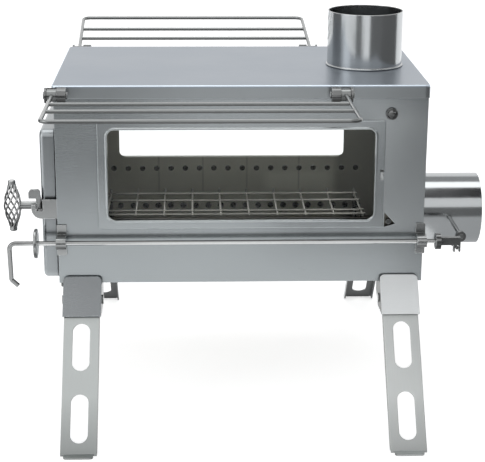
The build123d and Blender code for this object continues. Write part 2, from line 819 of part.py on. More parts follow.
# Inner plate that closes the pan
with BuildPart() as door_liner:
    with BuildSketch(Plane.YZ.offset(door_in)):
        with Locations((0, z_of(door_mid))):
            RectangleRounded(2 * (door_half - sheet), door_h - 2 * sheet, door_corner - sheet)
    extrude(amount=-sheet)
save(door_liner.part, "door_liner")

# Flat rope seal between the door and the end frame
seal_half = opening_half + seal_w
seal_h = opening_h + 2 * seal_w
with BuildPart() as door_seal:
    with BuildSketch(Plane.YZ.offset(seal_x)):
        with Locations((0, z_of(opening_mid))):
            RectangleRounded(2 * seal_half, seal_h, door_corner + seal_w)
            RectangleRounded(2 * (seal_half - seal_w), seal_h - 2 * seal_w, door_corner, mode=Mode.SUBTRACT)
    extrude(amount=seal_t)
save(door_seal.part, "door_seal")

# Door hinges: knuckles on the stove below, knuckles on the door above, one pin each
pin_x = left_x - hinge_x
with BuildPart() as body_knuckles:
    for height in hinge_heights:
        z0 = z_of(height) - knuckle_gap / 2 - knuckle_len
        with BuildSketch(Plane.XY.offset(z0)):
            with Locations((pin_x, hinge_y)):
                Circle(hinge_r)
            with Locations(((pin_x + left_x + 20.0) / 2, face_y + sheet / 2)):
                Rectangle(left_x + 20.0 - pin_x, sheet)
            with Locations((pin_x, hinge_y)):
                Circle(hinge_pin_r, mode=Mode.SUBTRACT)
        extrude(amount=knuckle_len)
save(body_knuckles.part, "door_hinge_body_knuckles")

with BuildPart() as door_knuckles:
    for height in hinge_heights:
        z0 = z_of(height) + knuckle_gap / 2
        with BuildSketch(Plane.XY.offset(z0)):
            with Locations((pin_x, hinge_y)):
                Circle(hinge_r)
            with Locations((pin_x, (door_half + hinge_y) / 2)):
                Rectangle(2 * hinge_r, hinge_y - door_half)
            with Locations((pin_x, hinge_y)):
                Circle(hinge_pin_r + running_fit, mode=Mode.SUBTRACT)
        extrude(amount=knuckle_len)
save(door_knuckles.part, "door_hinge_door_knuckles")

with BuildPart() as hinge_pins:
    for height in hinge_heights:
        with Locations((pin_x, hinge_y, z_of(height))):
            Cylinder(hinge_pin_r, 2 * knuckle_len + 3.0)
save(hinge_pins.part, "door_hinge_pins")

# Handle shaft through the door, with a nut inside the pan
with BuildPart() as handle_shaft:
    shaft_in = door_in - sheet - 2.0
    shaft_tip = door_out - shaft_out
    with BuildSketch(Plane.YZ.offset(shaft_tip)):
        with Locations((shaft_y, z_of(shaft_z))):
            Circle(shaft_r)
    extrude(amount=shaft_in - shaft_tip)
save(handle_shaft.part, "handle_shaft")

with BuildPart() as shaft_nut:
    with BuildSketch(Plane.YZ.offset(door_out + sheet + 0.4)):
        with Locations((shaft_y, z_of(shaft_z))):
            RegularPolygon(shaft_r + nut_rim, 6, rotation=30)
            Circle(shaft_r, mode=Mode.SUBTRACT)
    extrude(amount=4.0)
save(shaft_nut.part, "shaft_nut")

# Latch tongue: upright plate beside the keeper, on a boss round the shaft
tongue_right = door_out - tongue_gap
tongue_low = 72.8
tongue_shoulder = 85.7
tongue_top = 94.7
tongue_stem = 4.3
tongue_head = 11.4
with BuildPart() as latch_tongue:
    with BuildSketch(Plane.XZ.offset(-tongue_y - tongue_t / 2)) as tongue_shape:
        with BuildLine():
            Polyline(
                (tongue_right, z_of(tongue_top)),
                (tongue_right - tongue_head, z_of(tongue_top)),
                (tongue_right - tongue_head, z_of(tongue_shoulder)),
                (tongue_right - tongue_stem, z_of(tongue_shoulder)),
                (tongue_right - tongue_stem, z_of(tongue_low)),
                (tongue_right - tongue_stem + 1.2, z_of(tongue_low)),
                (tongue_right, z_of(tongue_low) + 9.0),
                close=True)
        make_face()
        tops = tongue_shape.vertices().group_by(Axis.Y)[-1]
        fillet(tops, 3.8)
    extrude(amount=tongue_t)
    with BuildSketch(Plane.YZ.offset(tongue_right)):
        with Locations((shaft_y, z_of(shaft_z))):
            Circle(shaft_r + 2.4)
        with BuildLine():
            Polyline(
                (tongue_y, z_of(shaft_z) - 1.5),
                (shaft_y, z_of(shaft_z) - shaft_r - 2.2),
                (shaft_y, z_of(shaft_z) + shaft_r + 2.2),
                (tongue_y, z_of(tongue_top) - 4.0),
                close=True)
        make_face()
        with Locations((shaft_y, z_of(shaft_z))):
            Circle(shaft_r, mode=Mode.SUBTRACT)
    extrude(amount=-tongue_stem)
save(latch_tongue.part, "latch_tongue")

# Basket handle: twisted wires between two end knobs
cage_mid_x = left_x - cage_x
cage_z = z_of(shaft_z)


def cage_wire(index):
    points = []
    steps = 8
    for k in range(steps + 1):
        t = k / steps
        r = cage_neck_r + (cage_r - cage_neck_r) * math.sin(math.pi * t) ** 1.3
        a = math.radians(360.0 * index / cage_wires + cage_turn * t)
        points.append((cage_mid_x + r * math.cos(a), shaft_y + r * math.sin(a),
                       cage_z + cage_half * (2 * t - 1) * 0.93))
    with BuildPart() as wire:
        with BuildLine() as path:
            Spline(*points)
        start = path.line @ 0
        with BuildSketch(Plane(origin=start, z_dir=path.line % 0)):
            Circle(cage_wire_r)
        sweep(path=path.wires()[0])
    return wire.part


cage_parts = [cage_wire(index) for index in range(cage_wires)]
with BuildPart() as basket_handle:
    for piece in cage_parts:
        add(piece)
    for sign in (-1, 1):
        with BuildSketch(Plane.XY.offset(cage_z + sign * (cage_half - knob_h))):
            with Locations((cage_mid_x, shaft_y)):
                Circle(knob_r)
        extrude(amount=sign * knob_h)
        fillet(basket_handle.faces().sort_by(Axis.Z)[0 if sign < 0 else -1].edges(), 1.2)
    with BuildSketch(Plane.YZ.offset(door_out - shaft_out)):
        with Locations((shaft_y, cage_z)):
            Circle(shaft_r)
    extrude(amount=shaft_out, mode=Mode.SUBTRACT)
save(basket_handle.part, "basket_handle")

# Control rod: straight rod bent down at the left end, with a short kink at the tip
rod_left = left_x - rod_bend_x
rod_right = right_x + rod_end_x
with BuildPart() as control_rod:
    with BuildLine(Plane.XZ.offset(-rod_y)) as rod_path:
        run = Polyline(
            (rod_right, rod_z),
            (rod_left, rod_z),
            (rod_left + 0.8, rod_z - rod_drop),
            (rod_left + 0.8 + kink_run, rod_z - rod_drop - kink_drop))
        fillet(run.vertices().sort_by(Axis.X)[0], rod_bend_r)
        fillet(rod_path.vertices().sort_by(Axis.Z)[1], rod_r + 1.0)
    with BuildSketch(Plane.YZ.offset(rod_right)):
        with Locations((rod_y, rod_z)):
            Circle(rod_r)
    sweep(path=rod_path.wires()[0])
save(control_rod.part, "control_rod")

# Round plate on the rod outside the door
with BuildPart() as rod_disc:
    with BuildSketch(Plane.YZ.offset(left_x - disc_x - disc_t / 2)):
        with Locations((rod_y, rod_z)):
            Circle(disc_r)
            Circle(rod_r, mode=Mode.SUBTRACT)
    extrude(amount=disc_t)
    fillet(rod_disc.edges().filter_by(GeomType.CIRCLE).group_by(SortBy.RADIUS)[-1], 1.0)
save(rod_disc.part, "rod_disc")

# Fork on the right end of the rod: collar, bar, and two prongs either side of the lever pin
spin_x = right_x + spindle_x
lever_dx = lever_arm * math.sin(math.radians(lever_tilt))
lever_dz = lever_arm * math.cos(math.radians(lever_tilt))
crank_start = right_x + crank_x
slot_half = lever_pin_r + pin_slack
fork_end = spin_x - lever_dx + slot_half + fork_prong
with BuildPart() as rod_fork:
    with BuildSketch(Plane.YZ.offset(crank_start)):
        with Locations((rod_y, rod_z)):
            Circle(crank_r)
    extrude(amount=crank_t)
    for start, low in ((crank_start + crank_t, fork_bar_low), (fork_end - 2 * (slot_half + fork_prong), fork_low)):
        box_at(start, fork_end, rod_y - fork_t / 2, rod_y + fork_t / 2, rod_z - low, rod_z + fork_high)
    with BuildSketch(Plane.XZ.offset(-rod_y)):
        with Locations((spin_x - lever_dx, rod_z - fork_low)):
            SlotOverall(2 * (fork_low - lever_dz + slot_half + 1.0), 2 * slot_half, rotation=90)
    extrude(amount=fork_t, both=True, mode=Mode.SUBTRACT)
    with BuildSketch(Plane.YZ.offset(crank_start)):
        with Locations((rod_y, rod_z)):
            Circle(rod_r)
    extrude(amount=rod_right - crank_start, mode=Mode.SUBTRACT)
save(rod_fork.part, "rod_fork")

# Damper spindle across the intake pipe, reaching forward to the lever
with BuildPart() as damper_spindle:
    with BuildSketch(Plane.XZ.offset(-pipe_r - spindle_back)):
        with Locations((spin_x, rod_z)):
            Circle(spindle_r)
    extrude(amount=pipe_r + spindle_back - spindle_front)
save(damper_spindle.part, "damper_spindle")

with BuildPart() as damper_flap:
    with BuildSketch(Plane.YZ.offset(spin_x - flap_t / 2)):
        with Locations((0, rod_z)):
            Circle(pipe_r - pipe_wall - flap_gap)
    extrude(amount=flap_t)
    with Locations((spin_x, 0, rod_z)):
        Cylinder(hub_r, 2 * (pipe_r - pipe_wall - flap_gap) - 6.0, rotation=(90, 0, 0))
        Cylinder(spindle_r, 4 * pipe_r, rotation=(90, 0, 0), mode=Mode.SUBTRACT)
save(damper_flap.part, "damper_flap")

# Lever on the front end of the spindle, with a pin that reaches into the fork
with BuildPart() as damper_lever:
    with BuildSketch(Plane.XZ.offset(-spindle_front - lever_t)):
        with Locations((spin_x, rod_z)):
            Circle(lever_boss_r)
        with Locations((spin_x - lever_dx, rod_z - lever_dz)):
            Circle(lever_tip_r)
        with Locations((spin_x - lever_dx / 2, rod_z - lever_dz / 2)):
            Rectangle(lever_arm, 2 * lever_tip_r, rotation=90 - lever_tilt)
        with Locations((spin_x, rod_z)):
            Circle(spindle_r, mode=Mode.SUBTRACT)
    extrude(amount=lever_t)
    with BuildSketch(Plane.XZ.offset(-spindle_front)):
        with Locations((spin_x - lever_dx, rod_z - lever_dz)):
            Circle(lever_pin_r)
    extrude(amount=spindle_front - rod_y + fork_t / 2)
save(damper_lever.part, "damper_lever")
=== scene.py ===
import math
from collections import namedtuple

import bmesh
import bpy
from mathutils import Matrix, Vector


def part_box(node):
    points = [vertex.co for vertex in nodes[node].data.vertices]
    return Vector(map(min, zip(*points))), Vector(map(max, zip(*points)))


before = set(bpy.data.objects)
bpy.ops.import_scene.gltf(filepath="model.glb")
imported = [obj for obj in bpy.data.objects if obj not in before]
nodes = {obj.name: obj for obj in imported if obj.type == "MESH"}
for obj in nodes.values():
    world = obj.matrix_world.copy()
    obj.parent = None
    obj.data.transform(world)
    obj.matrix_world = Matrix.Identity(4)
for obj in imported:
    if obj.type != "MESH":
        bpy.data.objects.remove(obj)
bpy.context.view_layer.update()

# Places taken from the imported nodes, in metres
plate_low, plate_high = (Vector(v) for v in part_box("top_plate"))
pan_low, pan_high = (Vector(v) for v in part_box("bottom_pan"))
mid_x = (plate_low.x + plate_high.x) / 2
base_z = pan_low.z

# A panel's inner side lies within this distance in Y, and its outer side beyond it
inner_y = pan_high.y + 0.0004

# Camera, solved from the photograph: its place is measured from the middle of the body's underside
cam_left = 0.04695
cam_back = 1.44495
cam_height = 0.46505
cam_yaw = 0.036
cam_pitch = 0.299
cam_roll = 0.005
cam_focal_px = 1426.8
cam_reach = 50.0
image_width = 485
sensor_width = 36.0


def add_camera():
    forward = Vector((math.sin(cam_yaw) * math.cos(cam_pitch),
                      math.cos(cam_yaw) * math.cos(cam_pitch), -math.sin(cam_pitch)))
    level_side = Vector((math.cos(cam_yaw), -math.sin(cam_yaw), 0.0))
    level_up = level_side.cross(forward)
    side = math.cos(cam_roll) * level_side + math.sin(cam_roll) * level_up
    up = math.cos(cam_roll) * level_up - math.sin(cam_roll) * level_side
    place = Vector((mid_x - cam_left, -cam_back, base_z + cam_height))
    data = bpy.data.cameras.new("photo_camera")
    data.sensor_width = sensor_width
    data.lens = cam_focal_px / image_width * sensor_width
    data.clip_end = cam_reach
    camera = bpy.data.objects.new("photo_camera", data)
    camera.matrix_world = Matrix((
        (side.x, up.x, -forward.x, place.x),
        (side.y, up.y, -forward.y, place.y),
        (side.z, up.z, -forward.z, place.z),
        (0, 0, 0, 1)))
    bpy.context.scene.collection.objects.link(camera)
    bpy.context.scene.camera = camera


add_camera()
bpy.context.scene.view_settings.view_transform = "Standard"

# Helpers that build shader nodes
white = (1, 1, 1, 1)
evenly = (1, 1, 1)
noise_middle = (0.3, 0.7)
ray_samples = 4


def new_material(name):
    material = bpy.data.materials.new(name)
    material.use_nodes = True
    tree = material.node_tree
    tree.nodes.clear()
    out = tree.nodes.new("ShaderNodeOutputMaterial")
    return material, tree, out


def node(tree, kind, **settings):
    made = tree.nodes.new(kind)
    for key, value in settings.items():
        if key in made.inputs:
            made.inputs[key].default_value = value
        else:
            setattr(made, key, value)
    return made


def object_coords(tree):
    return tree.nodes.new("ShaderNodeTexCoord").outputs["Object"]


def split_axes(tree, vector):
    made = tree.nodes.new("ShaderNodeSeparateXYZ")
    tree.links.new(vector, made.inputs[0])
    return made.outputs


def noise(tree, coords, stretch, scale, detail, roughness):
    mapping = node(tree, "ShaderNodeMapping", Scale=stretch)
    tree.links.new(coords, mapping.inputs["Vector"])
    tex = node(tree, "ShaderNodeTexNoise", Scale=scale, Detail=detail, Roughness=roughness)
    tree.links.new(mapping.outputs["Vector"], tex.inputs["Vector"])
    return tex.outputs["Fac"]


def remap(tree, value, source, target):
    """Carry a value from one range to another and hold it at the ends."""
    made = tree.nodes.new("ShaderNodeMapRange")
    for socket, number in zip(("From Min", "From Max", "To Min", "To Max"), (*source, *target)):
        made.inputs[socket].default_value = number
    tree.links.new(value, made.inputs["Value"])
    return made.outputs["Result"]


def spread(tree, pattern, target):
    """Spread the middle of a noise, where most of its values lie, over a range."""
    return remap(tree, pattern, noise_middle, target)


def math_node(tree, operation, *values):
    made = node(tree, "ShaderNodeMath", operation=operation)
    for index, value in enumerate(values):
        if isinstance(value, (int, float)):
            made.inputs[index].default_value = value
        else:
            tree.links.new(value, made.inputs[index])
    return made.outputs[0]


def blend_colours(tree, fac, a, b):
    made = node(tree, "ShaderNodeMix", data_type="RGBA")
    tree.links.new(fac, made.inputs["Factor"])
    for name, value in (("A", a), ("B", b)):
        socket = [s for s in made.inputs if s.name == name and s.type == "RGBA"][0]
        if isinstance(value, tuple):
            socket.default_value = (*value, 1.0)
        else:
            tree.links.new(value, socket)
    return [s for s in made.outputs if s.type == "RGBA"][0]


def tone(colour, factor):
    return tuple(min(1.0, c * factor) for c in colour)


# Brushing: how the grain is squeezed along X, Y and Z, how fine it is and how deep
Brush = namedtuple("Brush", "stretch scale depth")
# Stains of another colour, in clouds all over
Stain = namedtuple("Stain", "colour strength")
# Shade on one side: none where the normal's part along the axis is start, full where it is end
Shadow = namedtuple("Shadow", "axis start end strength")
# A soft-edged field of another colour between two X values and two Z values
Patch = namedtuple("Patch", "x_range z_range strength soft_x soft_z colour")


def body_patch(x_range, z_range, **look):
    """A patch whose ranges are measured from the middle of the body's underside."""
    return Patch(x_range=[mid_x + x for x in x_range], z_range=[base_z + z for z in z_range], **look)


# Steel is painted in layers, among them painted highlights and painted shade: a tone multiplies its colour,
# and a share is the most that a layer covers
cloud_scale = 9.0
grain_detail = 6.0
grain_share = 0.08
grain_tone = 0.72
scratch_scale = 0.35
scratch_peaks = (0.66, 0.74)
scratch_share = 0.04
scratch_tone = 1.25
stain_scale = 14.0
stain_rise = (0.45, 0.7)
# Painted highlight along edges
edge_highlight_turn = (0.99, 0.85)
edge_highlight_tone = 2.5
# Painted shade in corners and creases, where other surfaces lie close
nook_reach = 0.008
nook_opening = (0.35, 0.95)
nook_tone = 0.25
# Painted highlight on bends and folds
bend_turn = (0.985, 0.90)
highlight_tone = 2.6
fold_begins = (0.08, 0.25)
fold_ends = (0.95, 0.80)
# Painted shade towards the foot of a leg, near the floor
foot_height = 0.045
foot_shade_share = 0.65
foot_tone = 0.4
shadow_tone = 0.12
gloss_grain = 0.02
gloss_cloud = (-0.03, 0.04)
bump_height = 0.0004
hole_wall_facing = 0.5
hole_wall_dark = (0.03, 0.028, 0.025)
inner_side_dark = (0.05, 0.047, 0.042)


def brushed_colour(tree, coords, fine, cloud, colour, brush, smudge):
    """Bare metal: clouds of smudges, fine grain and thin bright scratches."""
    shade = blend_colours(tree, spread(tree, cloud, (0.0, 1.0)), tone(colour, 1 - smudge),
                          tone(colour, 1 + smudge))
    shade = blend_colours(tree, spread(tree, fine, (0.0, grain_share)), shade, tone(colour, grain_tone))
    # The scratches are squeezed less than the grain
    loose_grain = tuple(v * 0.6 + 0.4 for v in brush.stretch)
    scratch = noise(tree, coords, loose_grain, brush.scale * scratch_scale, detail=2.0, roughness=0.4)
    thin = remap(tree, scratch, scratch_peaks, (0.0, scratch_share))
    return blend_colours(tree, thin, shade, tone(colour, scratch_tone))


def stained(tree, shade, coords, stain):
    cloudy = noise(tree, coords, evenly, stain_scale, detail=5.0, roughness=0.65)
    return blend_colours(tree, remap(tree, cloudy, stain_rise, (0.0, stain.strength)), shade, stain.colour)


def edge_highlight(tree, shade, colour, normal, bevel, edge_light):
    """Painted highlight along the edges, where the rounded normal leaves the true one."""
    turn = node(tree, "ShaderNodeVectorMath", operation="DOT_PRODUCT")
    tree.links.new(bevel.outputs["Normal"], turn.inputs[0])
    tree.links.new(normal, turn.inputs[1])
    edge_highlight_amount = remap(tree, turn.outputs["Value"], edge_highlight_turn, (0.0, edge_light))
    return blend_colours(tree, edge_highlight_amount, shade, tone(colour, edge_highlight_tone))


# Painted shade in corners and creases, found by rays that meet other surfaces close by
def shaded_nooks(tree, shade, colour, nook_shade):
    nook = node(tree, "ShaderNodeAmbientOcclusion", samples=ray_samples, Distance=nook_reach)
    nook_darkening = remap(tree, nook.outputs["AO"], nook_opening, (nook_shade, 0.0))
    return blend_colours(tree, nook_darkening, shade, tone(colour, nook_tone))


def highlighted_bends(tree, shade, colour, facing, strength):
    """Painted highlight on a sheet's bends, which face none of the main directions."""
    spans = [math_node(tree, "ABSOLUTE", facing[axis]) for axis in "XYZ"]
    squareness = math_node(tree, "MAXIMUM", math_node(tree, "MAXIMUM", spans[0], spans[1]), spans[2])
    turned = remap(tree, squareness, bend_turn, (0.0, strength))
    return blend_colours(tree, turned, shade, tone(colour, highlight_tone))


def highlighted_folds(tree, shade, colour, facing, strength):
    """Painted highlight where a sheet turns from facing ahead to facing left or right."""
    sideways = math_node(tree, "ABSOLUTE", facing["X"])
    turned = math_node(tree, "MINIMUM", remap(tree, sideways, fold_begins, (0.0, strength)),
                       remap(tree, sideways, fold_ends, (0.0, strength)))
    return blend_colours(tree, turned, shade, tone(colour, highlight_tone))


# Painted shade that deepens towards the foot, near the floor
def shaded_foot(tree, shade, colour, place):
    low = remap(tree, place["Z"], (0.0, foot_height), (foot_shade_share, 0.0))
    return blend_colours(tree, low, shade, tone(colour, foot_tone))


def shaded_side(tree, shade, colour, facing, shadow):
    turned = remap(tree, facing[shadow.axis], (shadow.start, shadow.end), (0.0, shadow.strength))
    return blend_colours(tree, turned, shade, tone(colour, shadow_tone))


def patched(tree, shade, place, patch):
    field = patch.strength
    sides = (("X", patch.x_range, patch.soft_x), ("Z", patch.z_range, patch.soft_z))
    for axis, (low, high), soft in sides:
        rise = remap(tree, place[axis], (low - soft, low + soft), (0.0, 1.0))
        fall = remap(tree, place[axis], (high - soft, high + soft), (1.0, 0.0))
        field = math_node(tree, "MULTIPLY", field, math_node(tree, "MULTIPLY", rise, fall))
    return blend_colours(tree, field, shade, patch.colour)


def dark_hole_walls(tree, shade, place, facing, top):
    """Darker on the walls of an upright plate's holes, up to a height."""
    across = math_node(tree, "LESS_THAN", math_node(tree, "ABSOLUTE", facing["Y"]), hole_wall_facing)
    low = math_node(tree, "LESS_THAN", place["Z"], top)
    return blend_colours(tree, math_node(tree, "MULTIPLY", across, low), shade, hole_wall_dark)


def dark_inner_side(tree, shade, place, outward):
    """Darker on a panel's inner side; outward is the sign of the Y direction that it faces."""
    inside = math_node(tree, "LESS_THAN", math_node(tree, "MULTIPLY", place["Y"], outward), inner_y)
    return blend_colours(tree, inside, shade, inner_side_dark)


def steel(name, colour, rough, brush, smudge, edge_light, edge_radius, metal=1.0, nook_shade=0.35,
          stain=None, bend_highlight=0.0, fold_highlight=0.0, foot=False, shadow=None, patches=(), hole_dark_top=None,
          outward=None):
    """Brushed sheet, tube or wire."""
    material, tree, out = new_material(name)
    shader = node(tree, "ShaderNodeBsdfPrincipled", Metallic=metal)
    coords = object_coords(tree)
    place = split_axes(tree, coords)
    normal = tree.nodes.new("ShaderNodeNewGeometry").outputs["Normal"]
    facing = split_axes(tree, normal)
    bevel = node(tree, "ShaderNodeBevel", samples=ray_samples, Radius=edge_radius)
    fine = noise(tree, coords, brush.stretch, brush.scale, detail=grain_detail, roughness=0.6)
    cloud = noise(tree, coords, evenly, cloud_scale, detail=3.0, roughness=0.5)

    shade = brushed_colour(tree, coords, fine, cloud, colour, brush, smudge)
    if stain:
        shade = stained(tree, shade, coords, stain)
    shade = edge_highlight(tree, shade, colour, normal, bevel, edge_light)
    shade = shaded_nooks(tree, shade, colour, nook_shade)
    if bend_highlight:
        shade = highlighted_bends(tree, shade, colour, facing, bend_highlight)
    if fold_highlight:
        shade = highlighted_folds(tree, shade, colour, facing, fold_highlight)
    if foot:
        shade = shaded_foot(tree, shade, colour, place)
    if shadow:
        shade = shaded_side(tree, shade, colour, facing, shadow)
    for patch in patches:
        shade = patched(tree, shade, place, patch)
    if hole_dark_top:
        shade = dark_hole_walls(tree, shade, place, facing, hole_dark_top)
    if outward:
        shade = dark_inner_side(tree, shade, place, outward)
    tree.links.new(shade, shader.inputs["Base Color"])

    gloss = math_node(tree, "ADD", spread(tree, fine, (rough - gloss_grain, rough + gloss_grain)),
                      spread(tree, cloud, gloss_cloud))
    tree.links.new(gloss, shader.inputs["Roughness"])
    bump = node(tree, "ShaderNodeBump", Strength=brush.depth, Distance=bump_height)
    tree.links.new(fine, bump.inputs["Height"])
    tree.links.new(bevel.outputs["Normal"], bump.inputs["Normal"])
    tree.links.new(bump.outputs["Normal"], shader.inputs["Normal"])
    tree.links.new(shader.outputs["BSDF"], out.inputs["Surface"])
    return material


def pane_glass(name):
    """Clear pane that lets light into the firebox, with a faint dusty film."""
    material, tree, out = new_material(name)
    shader = node(tree, "ShaderNodeBsdfPrincipled", Roughness=0.02, IOR=1.22)
    shader.inputs["Base Color"].default_value = (0.98, 0.99, 0.985, 1)
    shader.inputs["Transmission Weight"].default_value = 1.0
    film = noise(tree, object_coords(tree), evenly, scale=25.0, detail=4.0, roughness=0.6)
    film_rise = (0.4, 0.8)
    film_roughness = (0.01, 0.06)
    tree.links.new(remap(tree, film, film_rise, film_roughness), shader.inputs["Roughness"])
    clear = node(tree, "ShaderNodeBsdfTransparent", Color=(0.92, 0.93, 0.92, 1))
    path = tree.nodes.new("ShaderNodeLightPath")
    through = math_node(tree, "MAXIMUM", path.outputs["Is Shadow Ray"], path.outputs["Is Diffuse Ray"])
    mix = tree.nodes.new("ShaderNodeMixShader")
    tree.links.new(through, mix.inputs["Fac"])
    tree.links.new(shader.outputs["BSDF"], mix.inputs[1])
    tree.links.new(clear.outputs["BSDF"], mix.inputs[2])
    tree.links.new(mix.outputs["Shader"], out.inputs["Surface"])
    return material


def rope_fabric(name):
    """Flat woven fibre rope: fine diagonal ribs."""
    rib_dark = (0.20, 0.19, 0.17)
    rib_light = (0.34, 0.33, 0.30)
    fluff_colour = (0.26, 0.25, 0.22)
    fluff_share = 0.4
    material, tree, out = new_material(name)
    shader = node(tree, "ShaderNodeBsdfPrincipled", Roughness=0.95)
    coords = object_coords(tree)
    ribs = node(tree, "ShaderNodeTexWave", bands_direction="DIAGONAL", Scale=260.0, Distortion=1.2)
    tree.links.new(coords, ribs.inputs["Vector"])
    fluff = noise(tree, coords, evenly, scale=300.0, detail=3.0, roughness=0.6)
    shade = blend_colours(tree, ribs.outputs["Fac"], rib_dark, rib_light)
    shade = blend_colours(tree, spread(tree, fluff, (0.0, fluff_share)), shade, fluff_colour)
    tree.links.new(shade, shader.inputs["Base Color"])
    bump = node(tree, "ShaderNodeBump", Strength=0.6, Distance=0.0005)
    tree.links.new(ribs.outputs["Fac"], bump.inputs["Height"])
    tree.links.new(bump.outputs["Normal"], shader.inputs["Normal"])
    tree.links.new(shader.outputs["BSDF"], out.inputs["Surface"])
    return material


# Brushing of each kind of piece
top_brush = Brush(stretch=(1.5, 60, 60), scale=40.0, depth=0.004)
panel_brush = Brush(stretch=(1.2, 60, 60), scale=40.0, depth=0.003)
door_brush = Brush(stretch=(60, 1.5, 60), scale=40.0, depth=0.004)
leg_brush = Brush(stretch=(40, 2, 2), scale=45.0, depth=0.02)
cap_brush = Brush(stretch=(2, 40, 40), scale=45.0, depth=0.005)
collar_brush = Brush(stretch=(40, 40, 1.5), scale=45.0, depth=0.02)
pipe_brush = Brush(stretch=(1.5, 40, 40), scale=45.0, depth=0.02)
wire_brush = Brush(stretch=(20, 20, 20), scale=60.0, depth=0.02)
rod_brush = Brush(stretch=(2, 60, 60), scale=60.0, depth=0.01)
fastener_brush = Brush(stretch=(12, 12, 12), scale=90.0, depth=0.03)
inner_brush = Brush(stretch=(1.5, 30, 30), scale=40.0, depth=0.004)

# Top plate, with a greyer rim below its flat top, painted to stand in for the rim's different reflection
rim_reflection_tone = Patch(x_range=(-0.5, 0.5), z_range=(base_z + 0.17, base_z + 0.1955), strength=0.9,
                  soft_x=0.012, soft_z=0.0006, colour=(0.325, 0.345, 0.352))
sheet_top = steel("sheet_top", colour=(0.315, 0.352, 0.40), rough=0.32, brush=top_brush, smudge=0.03,
                  edge_light=1.0, edge_radius=0.0018, nook_shade=0.2, bend_highlight=0.9, patches=[rim_reflection_tone])

# Long panels, the front one lighter to the right of its window by a painted reflection
panel_look = dict(colour=(0.345, 0.37, 0.38), rough=0.25, brush=panel_brush, smudge=0.05,
                  edge_light=0.5, edge_radius=0.0007, bend_highlight=0.6)
window_side_reflection = body_patch(x_range=(0.125, 0.22), z_range=(0.05, 0.175), strength=0.6,
                        soft_x=0.012, soft_z=0.012, colour=(0.53, 0.56, 0.57))
sheet_front = steel("sheet_front", outward=-1, patches=[window_side_reflection], **panel_look)
sheet_rear = steel("sheet_rear", outward=1, **panel_look)

# Window frames, with a small slot at the right drawn as a painted highlight below and painted shade above
slot_x = (0.1348, 0.1384)
slot_highlight = body_patch(x_range=slot_x, z_range=(0.1045, 0.1115), strength=0.8,
                        soft_x=0.0005, soft_z=0.001, colour=(0.75, 0.77, 0.77))
slot_shade = body_patch(x_range=slot_x, z_range=(0.112, 0.1145), strength=0.9,
                       soft_x=0.0005, soft_z=0.0005, colour=(0.06, 0.06, 0.06))
sheet_frame = steel("sheet_frame", colour=(0.37, 0.395, 0.405), rough=0.23, brush=panel_brush, smudge=0.05,
                    edge_light=0.6, edge_radius=0.0012, bend_highlight=0.5, patches=[slot_highlight, slot_shade])

# Door and end panel
sheet_door = steel("sheet_door", colour=(0.31, 0.33, 0.34), rough=0.26, brush=door_brush, smudge=0.05,
                   edge_light=0.6, edge_radius=0.0012, bend_highlight=0.15)

# Legs, each with painted shade on the side that faces the body; left, right and rear legs are lit and shaded
# copies of one steel, the right ones painted lightest
leg_look = dict(rough=0.30, brush=leg_brush, smudge=0.06, edge_radius=0.0009, nook_shade=0.6)
leg_left = steel("leg_left", colour=(0.50, 0.525, 0.52), edge_light=0.6, foot=True,
                 shadow=Shadow("X", start=0.3, end=0.8, strength=0.8), **leg_look)
leg_right = steel("leg_right", colour=(0.68, 0.705, 0.70), edge_light=0.4, foot=True,
                  shadow=Shadow("X", start=-0.3, end=-0.8, strength=0.8), **leg_look)
leg_rear = steel("leg_rear", colour=(0.44, 0.455, 0.46), edge_light=0.9,
                 shadow=Shadow("Y", start=-0.2, end=-0.6, strength=0.85), **leg_look)

# Brackets over the tops of the front legs, lit and shaded copies of one steel: the left painted dark with a
# painted highlight on its folds, the right painted light, each with painted shade on its inner side
cap_left = steel("cap_left", colour=(0.27, 0.285, 0.295), rough=0.24, brush=cap_brush, smudge=0.06,
                 edge_light=1.0, edge_radius=0.0012, fold_highlight=0.8,
                 shadow=Shadow("X", start=0.3, end=0.8, strength=0.6))
cap_right = steel("cap_right", colour=(0.90, 0.92, 0.92), rough=0.40, brush=cap_brush._replace(depth=0.01),
                  smudge=0.04, edge_light=0.4, edge_radius=0.0009, nook_shade=0.6, metal=0.55,
                  shadow=Shadow("X", start=-0.3, end=-0.8, strength=0.8))

# Flue collar and air intake pipe
tube_look = dict(colour=(0.50, 0.52, 0.53), smudge=0.04, edge_light=0.6, edge_radius=0.0008)
tube_steel = steel("tube_steel", rough=0.18, brush=collar_brush, **tube_look)
pipe_steel = steel("pipe_steel", rough=0.14, brush=pipe_brush, **tube_look)

# Racks, grate, basket handle and control rod
wire_look = dict(smudge=0.05, edge_light=0.1, edge_radius=0.0003)
wire_steel = steel("wire_steel", colour=(0.28, 0.29, 0.29), rough=0.18, brush=wire_brush, nook_shade=0.6,
                   shadow=Shadow("Z", start=0.35, end=-0.35, strength=0.75), **wire_look)
grate_steel = steel("grate_steel", colour=(0.62, 0.60, 0.54), rough=0.22, brush=wire_brush, nook_shade=0.3,
                    metal=0.5, shadow=Shadow("Z", start=-0.1, end=-0.6, strength=0.85), **wire_look)
basket_steel = steel("basket_steel", colour=(0.55, 0.56, 0.56), rough=0.18, brush=wire_brush, nook_shade=0.9,
                     shadow=Shadow("Z", start=0.30, end=-0.30, strength=0.9), **wire_look)
# Painted shade on the control rod's left end, and painted shade on its top
rod_end_shade = Patch(x_range=(mid_x - 0.30, mid_x - 0.205), z_range=(0.0, 0.30), strength=0.85,
                soft_x=0.012, soft_z=0.004, colour=(0.24, 0.245, 0.245))
rod_steel = steel("rod_steel", colour=(0.62, 0.63, 0.63), rough=0.16, brush=rod_brush, nook_shade=0.3,
                  shadow=Shadow("Z", start=0.45, end=0.75, strength=0.85), patches=[rod_end_shade], **wire_look)

